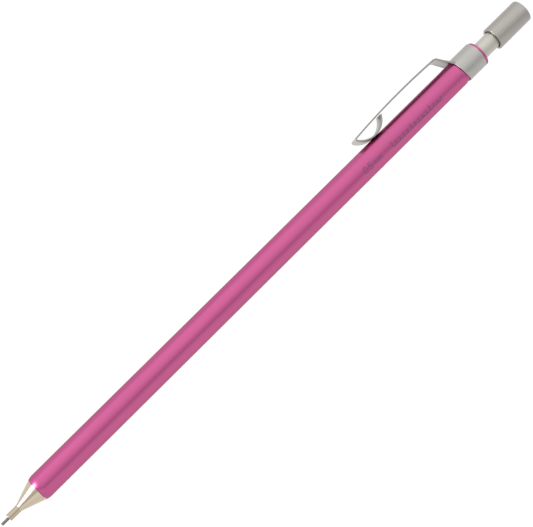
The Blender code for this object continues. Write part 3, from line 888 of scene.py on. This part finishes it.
class PENCIL_OT_leads(PencilOperator):
    """The lead in use and the spare leads, with their ends a little worn"""

    bl_idname = "pencil.leads"
    bl_label = "Leads"

    def execute(self, context):
        material = extruded_graphite(context.scene.pencil_colours)
        for node, body, worn_end_and_darker_nose in (
            ("lead", "lead", 0.1 * MM),
            ("spare_lead_1", "pusher", 0.03 * MM),
            ("spare_lead_2", "pusher", 0.03 * MM),
            ("spare_lead_3", "pusher", 0.03 * MM),
        ):
            points = cad_points(node)
            front, rear = points[:, 0].min(), points[:, 0].max()
            middle = (points[:, 1:].min(0) + points[:, 1:].max(0)) / 2
            radius = widest("lead")
            outline = rounded([
                (front, 0.0, 0),
                (front, radius, worn_end_and_darker_nose),
                (rear, radius, 0.03 * MM),
                (rear, 0.0, 0),
            ], closed=False)
            grid = revolved(outline[1:-1])
            grid[..., 1:] += middle
            make_piece(f"graphite_{node}", material, body, [node], [(grid, False)])
        return {"FINISHED"}


class PENCIL_OT_chuck(PencilOperator):
    """Collet that grips the lead: its rear with the thread, and its three sprung jaws"""

    bl_idname = "pencil.chuck"
    bl_label = "Chuck"

    def execute(self, context):
        sizes = context.scene.pencil_sizes
        edge = sizes.broken_edge
        material = plain_brass()
        front, rear = ends("chuck_body")
        bore, stem = narrowest("chuck_body"), widest("chuck_body", front)
        screw = widest("chuck_body")
        screw_start = stations("chuck_body", screw)[0]
        body_outline = rounded([
            (front, bore, 0),
            (front, stem, edge),
            (screw_start, stem, 0),
            (screw_start, screw, edge),
            (screw_start + 0.2 * MM, screw, 0),
        ], closed=False)
        screw_part = straight((screw_start + 0.2 * MM, screw), (rear - 0.2 * MM, screw), 60)
        end_part = rounded([
            (rear - 0.2 * MM, screw, 0),
            (rear, screw - 0.1 * MM, 0),
            (rear, bore, 0),
            (front, bore, 0),
        ], closed=False)
        outline = np.concatenate([body_outline[:-1], screw_part, end_part[:-1]])
        screw_pitch, screw_depth = 0.35 * MM, 0.08 * MM
        relief = screw_thread(screw_start, rear, screw_pitch, screw_depth)

        def outside_only(station, turn):
            return relief(station, turn) * (outline[:, 1:] > screw - NEAR)

        make_turned("brass_chuck_body", material, "pusher", "chuck_body", outline, outside_only)
        for number in (1, 2, 3):
            node = f"chuck_jaw_{number}"
            make_piece(f"brass_{node}", material, node, [node], [(self.jaw(node, edge), False)])
        return {"FINISHED"}

    def jaw(self, node, edge):
        """One jaw: its outline turned about the axis through its own share of the circle."""
        front, root = ends(node)
        grip, relief = narrowest(node), narrowest(node, root)
        face, stem, head = widest(node, front), widest(node, root), widest(node)
        head_start, head_end = stations(node, head)[[0, -1]]
        stem_start = stations(node, stem)[0]
        grip_end = stations(node, grip)[-1]
        relief_start = stations(node, relief)[0]
        outline = rounded([
            (front, grip, 0),
            (front, face, edge),
            (head_start, head, edge),
            (head_end, head, 2 * edge),
            (stem_start, stem, 4 * edge),
            (root, stem, 0),
            (root, relief, 0),
            (relief_start, relief, 0),
            (grip_end, grip, 0),
        ])
        points = cad_points(node)
        turn = np.arctan2(points[:, 2], points[:, 1])
        middle = math.atan2(np.sin(turn).mean(), np.cos(turn).mean())
        reach = abs((turn - middle + np.pi) % (2 * np.pi) - np.pi).max()
        sweep = np.linspace(middle - reach, middle + reach, 24)[:, None]
        station = np.broadcast_to(outline[:, 0], (24, len(outline)))
        return np.stack([station, outline[:, 1] * np.cos(sweep), outline[:, 1] * np.sin(sweep)], -1)


class PENCIL_OT_clutch(PencilOperator):
    """Clutch ring, and the sleeve that guides the chuck and seats the spring"""

    bl_idname = "pencil.clutch"
    bl_label = "Clutch ring and sleeve"

    def execute(self, context):
        edge = context.scene.pencil_sizes.broken_edge
        material = bpy.data.materials["turned_brass"]
        ring = bush("clutch_ring", 2 * edge, 3 * edge, 3 * edge, 2 * edge)
        make_turned("brass_clutch_ring", material, "clutch_ring", "clutch_ring", ring)
        front, rear = ends("chuck_sleeve")
        flange, body = widest("chuck_sleeve"), widest("chuck_sleeve", rear)
        seat, chamber = narrowest("chuck_sleeve", front), narrowest("chuck_sleeve", rear)
        hole = narrowest("chuck_sleeve")
        flange_end = stations("chuck_sleeve", flange)[-1]
        seat_rear = stations("chuck_sleeve", seat)[-1]
        bulkhead_rear = stations("chuck_sleeve", chamber)[0]
        sleeve = rounded([
            (front, seat, 2 * edge),
            (front, flange, edge),
            (flange_end, flange, edge),
            (flange_end, body, edge / 2),
            (rear, body, 2 * edge),
            (rear, chamber, edge),
            (bulkhead_rear, chamber, edge),
            (bulkhead_rear, hole, edge),
            (seat_rear, hole, edge),
            (seat_rear, seat, edge),
        ])
        make_turned("brass_chuck_sleeve", material, "barrel", "chuck_sleeve", sleeve)
        return {"FINISHED"}


class PENCIL_OT_return_spring(PencilOperator):
    """Coil spring with closed end turns, which shortens as the button is pushed"""

    bl_idname = "pencil.return_spring"
    bl_label = "Return spring"

    def execute(self, context):
        front, rear = ends("return_spring")
        outer, inner = widest("return_spring"), narrowest("return_spring")
        wire, coil = (outer - inner) / 2, (outer + inner) / 2
        seat = stations("chuck_sleeve", narrowest("chuck_sleeve", ends("chuck_sleeve")[1]))[0]
        first, last = front + wire, rear - wire
        end_turns, free_turns = 1.25, 9.0
        closed_pitch = 2.4 * wire
        open_pitch = (last - first - 2 * end_turns * closed_pitch) / free_turns
        turn = np.linspace(0.0, free_turns + 2 * end_turns, 480)
        near = np.minimum(turn, end_turns)
        far = np.maximum(turn - end_turns - free_turns, 0.0)
        station = first + (near + far) * closed_pitch + (turn - near - far) * open_pitch
        angle = 2 * np.pi * turn
        path = np.stack([station, coil * np.cos(angle), coil * np.sin(angle)], 1)
        material = spring_wire()
        grids = [(tube(path, wire), False)]
        nodes = ["return_spring"]
        spring = make_piece("steel_return_spring", material, "barrel", nodes, grids)
        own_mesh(spring)
        return {"FINISHED"}


class PENCIL_OT_tube_connector(PencilOperator):
    """Moulded connector between chuck and lead tube, with a flange and a funnel for the next lead"""

    bl_idname = "pencil.tube_connector"
    bl_label = "Tube connector"

    def execute(self, context):
        edge = context.scene.pencil_sizes.broken_edge
        front, rear = ends("tube_connector")
        flange = widest("tube_connector")
        flange_start, flange_end = stations("tube_connector", flange)[[0, -1]]
        spigot, thread_bore, mouth = 1.27 * MM, 1.0 * MM, 1.1 * MM
        bore = narrowest("tube_connector")
        bore_start, bore_end = stations("tube_connector", bore)[[0, -1]]
        radius = narrowest("tube_connector", flange_start)
        outline = rounded([
            (front, thread_bore, edge),
            (front, radius, 3 * edge),
            (flange_start, radius, edge),
            (flange_start, flange, edge),
            (flange_end, flange, edge),
            (flange_end, spigot, edge),
            (rear, spigot, 4 * edge),
            (rear, mouth, edge),
            (bore_end, bore, edge),
            (bore_start, bore, 0),
            (bore_start, thread_bore, 0),
        ])
        material = moulded_acetal()
        make_turned("white_tube_connector", material, "pusher", "tube_connector", outline)
        return {"FINISHED"}


class PENCIL_OT_lead_tube(PencilOperator):
    """Long tube for spare leads, whose rear end shows between the tail ring and the cap"""

    bl_idname = "pencil.lead_tube"
    bl_label = "Lead tube"

    def execute(self, context):
        edge = context.scene.pencil_sizes.broken_edge
        outline = bush("lead_tube", edge, edge, 4 * edge, 3 * edge)
        material = clear_anodised(context.scene.pencil_colours)
        make_turned("aluminium_lead_tube", material, "pusher", "lead_tube", outline)
        return {"FINISHED"}


class PENCIL_OT_eraser(PencilOperator):
    """Round eraser in the lead tube's end, its rubbing end domed"""

    bl_idname = "pencil.eraser"
    bl_label = "Eraser"

    def execute(self, context):
        front, rear = ends("eraser")
        radius = widest("eraser")
        outline = rounded([
            (front, 0.0, 0),
            (front, radius, 0.15 * MM),
            (rear - 0.06 * MM, radius, 0.4 * MM),
            (rear, 0.4 * MM, 0),
            (rear, 0.0, 0),
        ], closed=False)
        material = vinyl_eraser()
        grids = [(revolved(outline[1:-1]), False)]
        make_piece("white_eraser", material, "eraser", ["eraser"], grids)
        return {"FINISHED"}


class PENCIL_OT_push_cap(PencilOperator):
    """Drawn steel cap, open towards the tip, and the plastic liner that grips the lead tube"""

    bl_idname = "pencil.push_cap"
    bl_label = "Push cap and liner"

    def execute(self, context):
        edge = context.scene.pencil_sizes.broken_edge
        mouth, top = ends("push_cap")
        radius = widest("push_cap")
        lip_end, inner_top = mouth + 0.6 * MM, top - 0.3 * MM
        lip, bore = narrowest("push_cap", lip_end), widest("push_cap", lip_end)
        outline = rounded([
            (inner_top, 0.0, 0),
            (inner_top, bore, 5 * edge),
            (lip_end, bore, edge),
            (lip_end, lip, 4 * edge),
            (mouth, lip, 3 * edge),
            (mouth, radius, 3 * edge),
            (top, radius, 0.25 * MM),
            (top, 0.0, 0),
        ], closed=False)
        material = drawn_cap_steel(context.scene.pencil_colours)
        grids = [(revolved(outline[1:-1]), False)]
        make_piece("steel_push_cap", material, "cap", ["push_cap"], grids)
        liner = bush("cap_liner", 2 * edge, edge, edge, 2 * edge)
        material = bpy.data.materials["moulded_acetal"]
        make_turned("white_cap_liner", material, "cap", "cap_liner", liner)
        return {"FINISHED"}


class PENCIL_OT_clip(PencilOperator):
    """Folded steel clip: its band round the barrel, and the arm of neck, bowed strip, fold and round bow"""

    bl_idname = "pencil.clip"
    bl_label = "Clip"

    def execute(self, context):
        colours, edge = context.scene.pencil_colours, context.scene.pencil_sizes.broken_edge
        band = satin_steel(colours, "satin_stainless_band", 1.0, 1.0)
        # The strip's faces get painted light, a fifth lighter, and its sheared edges get painted shade, 0.78
        # of the colour.
        strip = satin_steel(colours, "sheared_stainless_strip", 1.2, 0.78)
        make_piece("steel_clip_band", band, "barrel", ["clip_band"], [(self.band(edge), True)])
        make_piece("steel_clip_arm", strip, "clip", ["clip_arm"], [(self.arm(context), False)])
        return {"FINISHED"}

    def band_circle(self):
        """Centre's distance towards the clip, and outer radius, of the band's circle."""
        points = cad_points("clip_band")
        low, high = points[:, 1].min(), points[:, 1].max()
        return (low + high) / 2, (high - low) / 2

    def band(self, edge):
        """The band: its wall's section carried round a circle that is set a little towards the clip.

        The front edge lies further back by slant * ((1 - cos turn) / 2) to the fourth, from none at the clip.
        """
        points = cad_points("clip_band")
        offset, radius = self.band_circle()
        away = np.hypot(points[:, 1] - offset, points[:, 2])
        bore, front, rear = away.min(), points[:, 0].min(), points[:, 0].max()
        opposite = points[points[:, 1] < -0.99 * (radius - offset)]
        slant = opposite[:, 0].min() - front
        section = rounded([
            (front, bore, edge),
            (front, radius, 2.2 * edge),
            (rear, radius, 3 * edge),
            (rear, bore, edge),
        ])
        length = np.linspace(front, rear, 9)[1:-1]
        joined = np.concatenate([section, np.stack([length, np.full(7, radius)], 1)])
        order = np.arctan2(joined[:, 1] - (bore + radius) / 2, joined[:, 0] - (front + rear) / 2).argsort()
        section = joined[order]
        turn = np.linspace(0.0, 2 * np.pi, bpy.context.scene.pencil_sizes.sides, endpoint=False)[:, None]
        back = slant * ((1 - np.cos(turn)) / 2) ** 4 * (rear - section[:, 0]) / (rear - front)
        across = section[:, 1]
        return np.stack([section[:, 0] + back, offset + across * np.cos(turn), across * np.sin(turn)], -1)

    def path(self, context):
        """Middle line of the arm, (station, height) from the foot to the bow's end.

        The strip is the parabola, and the bow the circle, that run through the CAD arm's corners.
        """
        sizes = context.scene.pencil_sizes
        points = cad_points("clip_arm")
        station, height = points[:, 0], points[:, 1]
        fold, foot = station.min(), station.max() + FOOT_REACH
        past_fold, before_foot = station > fold + 1.2 * MM, station < foot - 2.9 * MM
        strip = past_fold & before_foot & (height > 0.85 * height.max())
        parabola = np.polynomial.Polynomial.fit(station[strip], height[strip], 2)
        bow = (height < 0.75 * height.max()) & (station < fold + 8 * MM)
        x, y = station[bow], height[bow]
        turned = np.linalg.lstsq(np.stack([2 * x, 2 * y, np.ones_like(x)], 1), x**2 + y**2, rcond=None)[0]
        centre = turned[:2]
        reach = math.sqrt(turned[2] + centre @ centre)
        foot_height = height[station > foot - FOOT_REACH - 0.25 * MM].mean()
        thickness = self.thickness()

        def bow_height(at):
            return centre[1] - np.sqrt(reach**2 - (at - centre[0]) ** 2)

        bend = foot - sizes.neck_run
        corner = fold + thickness / 2
        strip_line = np.linspace(bend, corner + 0.9 * MM, 42)[1:]
        trial = np.linspace(centre[0], centre[0] + 0.95 * reach, 400)
        bow_end = trial[bow_height(trial) < parabola(trial) - 1.3 * thickness].max()
        bow_line = np.linspace(corner + 0.35 * MM, bow_end, 48)
        nothing = np.zeros(len(strip_line))
        corners = np.concatenate([
            [[foot, foot_height, 0.0], [bend, parabola(bend), sizes.bend_rounding]],
            np.stack([strip_line, parabola(strip_line), nothing], 1),
            [[corner, parabola(corner), sizes.fold_rounding]],
            np.stack([bow_line, bow_height(bow_line), np.zeros(len(bow_line))], 1),
        ])
        return rounded(corners, closed=False)

    def thickness(self):
        """Thickness of the strip: the span of the CAD arm's heights at its highest station."""
        points = cad_points("clip_arm")
        highest = points[points[:, 1].argmax(), 0]
        near = points[abs(points[:, 0] - highest) < 0.2 * MM, 1]
        return np.ptp(near[near > 0.8 * near.max()])

    def arm(self, context):
        """The arm: a strip with round edges carried along its path.

        A point of the middle surface is (path, across). Down the neck the strip widens and bends round, until
        at the foot it lies on the band's circle: its height falls by radius - sqrt(radius^2 - across^2).
        The two faces lie half the thickness off along the surface's normal. Its edges are flat with rounded
        corners: a superellipse, whose cosine and sine are raised to the power EDGE_SQUARENESS.
        """
        points = cad_points("clip_arm")
        foot = points[:, 0].max() + FOOT_REACH
        half_width = abs(points[points[:, 0] < foot - 6 * MM, 2]).max()
        foot_width = abs(points[:, 2]).max()
        _, radius = self.band_circle()
        half = self.thickness() / 2
        path = self.path(context)
        along_neck = np.clip(1 - (foot - path[:, 0]) / context.scene.pencil_sizes.neck_run, 0.0, 1.0)
        width = half_width + (foot_width - half_width) * along_neck**1.5
        bent = along_neck**4
        flat = np.linspace(-1.0, 1.0, 17)
        round_edge = np.linspace(0.0, np.pi, 9)[1:-1]
        share = np.concatenate([flat, np.ones(7), flat[::-1], -np.ones(7)])
        cosine = np.sign(np.cos(round_edge)) * abs(np.cos(round_edge)) ** EDGE_SQUARENESS
        sine = np.sin(round_edge) ** EDGE_SQUARENESS
        out = np.concatenate([np.ones(17), cosine, -np.ones(17), -cosine])
        beyond = np.concatenate([np.zeros(17), sine, np.zeros(17), -sine])
        across = (width - half)[:, None] * share
        circle = radius - half
        fall = circle - np.sqrt(circle**2 - across**2)
        middle = np.stack([
            np.broadcast_to(path[:, :1], across.shape),
            path[:, 1:] - bent[:, None] * fall,
            across,
        ], -1)
        along = unit(np.gradient(middle, axis=0))
        slope = -bent[:, None] * across / np.sqrt(circle**2 - across**2)
        sideways = unit(np.stack([np.zeros_like(across), slope, np.ones_like(across)], -1))
        normal = unit(np.cross(along, sideways))
        return middle + half * (normal * out[:, None] + sideways * beyond[:, None])


# ---------------------------------------------------------------- studio


class PENCIL_OT_studio(PencilOperator):
    """Pale lit table, soft studio light and the camera"""

    bl_idname = "pencil.studio"
    bl_label = "Studio"

    def execute(self, context):
        scene = context.scene
        scene.view_settings.view_transform = "Standard"
        self.table(scene)
        self.dome(scene)
        self.softbox(scene)
        self.camera(scene)
        return {"FINISHED"}

    def table(self, scene):
        """White table that glows a little, as over a light box, so that shadows stay faint."""
        half = 4.0
        corners = np.array([[-1, -1, 0], [1, -1, 0], [1, 1, 0], [-1, 1, 0]]) * half
        mesh = bpy.data.meshes.new("table")
        mesh.from_pydata(corners.tolist(), [], [[0, 1, 2, 3]])
        material, tree, place = new_material("white_light_table")
        mottle = grain(tree, place, (60 * MM, 60 * MM, 60 * MM), 2.0)
        close_material(
            tree,
            Base_Color=tinted(tree, mottle, (0.11, 0.11, 0.11), (0.13, 0.13, 0.13)),
            Roughness=0.9,
            Specular_IOR_Level=0.0,
            Emission_Color=(1.0, 1.0, 1.0, 1.0),
            Emission_Strength=scene.pencil_studio.floor_glow,
        )
        mesh.materials.append(material)
        table = bpy.data.objects.new("table", mesh)
        scene.collection.objects.link(table)

    def dome(self, scene):
        """Studio round the pencil: brightest on the clip's side, with a darker lane short of overhead.

        Its brightness depends on how far a direction leans towards the clip's side and the push cap: its
        share out of the axis plus cap_share times its share along it, from -most to most. The key is a soft
        round glow added to that: nothing at glow_edge from its direction, full at glow_core.
        """
        cap_share, most = 0.64, 1.19
        glow_edge, glow_core = math.radians(19.0), math.radians(6.0)
        world = bpy.data.worlds.new("studio_dome")
        scene.world = world
        world.use_nodes = True
        tree = world.node_tree
        tree.nodes.clear()
        direction = add(tree, "ShaderNodeTexCoord").outputs["Generated"]
        towards = tuple(OUT + cap_share * ALONG)
        lean = add(tree, "ShaderNodeVectorMath", {0: direction, 1: towards}, operation="DOT_PRODUCT")
        share = add(
            tree, "ShaderNodeMapRange", {"Value": lean.outputs["Value"], "From Min": -most, "From Max": most}
        )
        ramp = add(tree, "ShaderNodeValToRGB", {"Fac": share.outputs[0]})
        lanes = (
            (-most, 1.1),
            (-0.85, 1.22),
            (-0.66, 1.18),
            (-0.52, 0.9),
            (-0.38, 0.62),
            (-0.26, 0.86),
            (-0.1, 1.05),
            (0.2, 1.32),
            (0.7, 1.46),
            (1.0, 1.52),
            (most, 1.3),
        )
        stops = ramp.color_ramp.elements
        ramp.color_ramp.interpolation = "EASE"
        while len(stops) < len(lanes):
            stops.new(0.5)
        for stop, (side, light) in zip(stops, lanes):
            stop.position = (side + most) / (2 * most)
            stop.color = (light, light, light, 1.0)
        light = add(
            tree, "ShaderNodeBackground", {"Color": ramp.outputs[0], "Strength": scene.pencil_studio.dome}
        )
        key_side = tuple(KEY_SIDE @ AXES)
        near = add(tree, "ShaderNodeVectorMath", {0: direction, 1: key_side}, operation="DOT_PRODUCT")
        glow = add(tree, "ShaderNodeMapRange", {
            "Value": near.outputs["Value"],
            "From Min": math.cos(glow_edge),
            "From Max": math.cos(glow_core),
            "To Max": scene.pencil_studio.key,
        }, interpolation_type="SMOOTHSTEP")
        key = add(tree, "ShaderNodeBackground", {"Strength": glow.outputs[0]})
        both = add(tree, "ShaderNodeAddShader", {0: light.outputs[0], 1: key.outputs[0]})
        add(tree, "ShaderNodeOutputWorld", {"Surface": both.outputs[0]})

    def softbox(self, scene):
        """Square softbox in the key's direction, which lights the pieces from there."""
        direction = KEY_SIDE @ AXES
        distance, side, radiance = 0.6, 0.2, 2.0
        light = bpy.data.lights.new("softbox", "AREA")
        light.shape = "SQUARE"
        light.size = side
        light.energy = radiance * math.pi * side**2
        softbox = bpy.data.objects.new("softbox", light)
        forward = -direction
        sideways = unit(np.cross(OUT, direction))
        upward = np.cross(direction, sideways)
        self.place(softbox, AXIS_POINT + direction * distance, sideways, upward, forward)
        scene.collection.objects.link(softbox)

    def camera(self, scene):
        """Camera over the barrel's front, looking back along the pencil, which crosses the picture."""
        studio = scene.pencil_studio
        position = AXIS_POINT + BESIDE * studio.camera_height
        target = AXIS_POINT + ALONG * studio.aim_station + OUT * studio.aim_side
        forward = unit(target - position)
        level = unit(ALONG - (ALONG @ forward) * forward)
        upright = np.cross(-forward, level)
        turn = studio.camera_turn
        right = math.cos(turn) * level - math.sin(turn) * upright
        upward = math.sin(turn) * level + math.cos(turn) * upright
        lens = bpy.data.cameras.new("camera")
        lens.lens = studio.focal_length
        lens.clip_start, lens.clip_end = 0.01, 20.0
        camera = bpy.data.objects.new("camera", lens)
        self.place(camera, position, right, upward, forward)
        scene.collection.objects.link(camera)
        scene.camera = camera

    def place(self, thing, position, right, upward, forward):
        """Puts a camera or light at a position, looking forward."""
        matrix = np.eye(4)
        matrix[:3, :4] = np.stack([right, upward, -forward, position], 1)
        thing.matrix_world = Matrix(matrix.tolist())


# ---------------------------------------------------------------- panel and registration


PIECE_OPERATORS = (
    PENCIL_OT_barrel,
    PENCIL_OT_tail_ring,
    PENCIL_OT_size_mark,
    PENCIL_OT_tip_cone,
    PENCIL_OT_lead_retainer,
    PENCIL_OT_leads,
    PENCIL_OT_chuck,
    PENCIL_OT_clutch,
    PENCIL_OT_return_spring,
    PENCIL_OT_tube_connector,
    PENCIL_OT_lead_tube,
    PENCIL_OT_eraser,
    PENCIL_OT_push_cap,
    PENCIL_OT_clip,
    PENCIL_OT_studio,
)


class PENCIL_PT_panel(Panel):
    """Lists the settings and the operators"""

    bl_idname = "PENCIL_PT_panel"
    bl_label = "Mechanical pencil"
    bl_space_type = "VIEW_3D"
    bl_region_type = "UI"
    bl_category = "Pencil"

    def draw(self, context):
        for group in (context.scene.pencil_sizes, context.scene.pencil_colours, context.scene.pencil_studio):
            box = self.layout.box()
            for name in group.__annotations__:
                box.prop(group, name)
        for operator in PIECE_OPERATORS:
            self.layout.operator(operator.bl_idname)


SETTINGS = {
    "pencil_sizes": PencilSizes,
    "pencil_colours": PencilColours,
    "pencil_studio": StudioSettings,
}


def register():
    """Adds the settings, the operators and the panel."""
    for kind in (*SETTINGS.values(), *PIECE_OPERATORS, PENCIL_PT_panel):
        bpy.utils.register_class(kind)
    for name, kind in SETTINGS.items():
        setattr(bpy.types.Scene, name, PointerProperty(type=kind))


def unregister():
    """Takes them out again."""
    for name in SETTINGS:
        delattr(bpy.types.Scene, name)
    for kind in reversed((*SETTINGS.values(), *PIECE_OPERATORS, PENCIL_PT_panel)):
        bpy.utils.unregister_class(kind)


def main():
    register()
    for operator in PIECE_OPERATORS:
        group, name = operator.bl_idname.split(".")
        getattr(getattr(bpy.ops, group), name)()


if __name__ == "__main__":
    main()
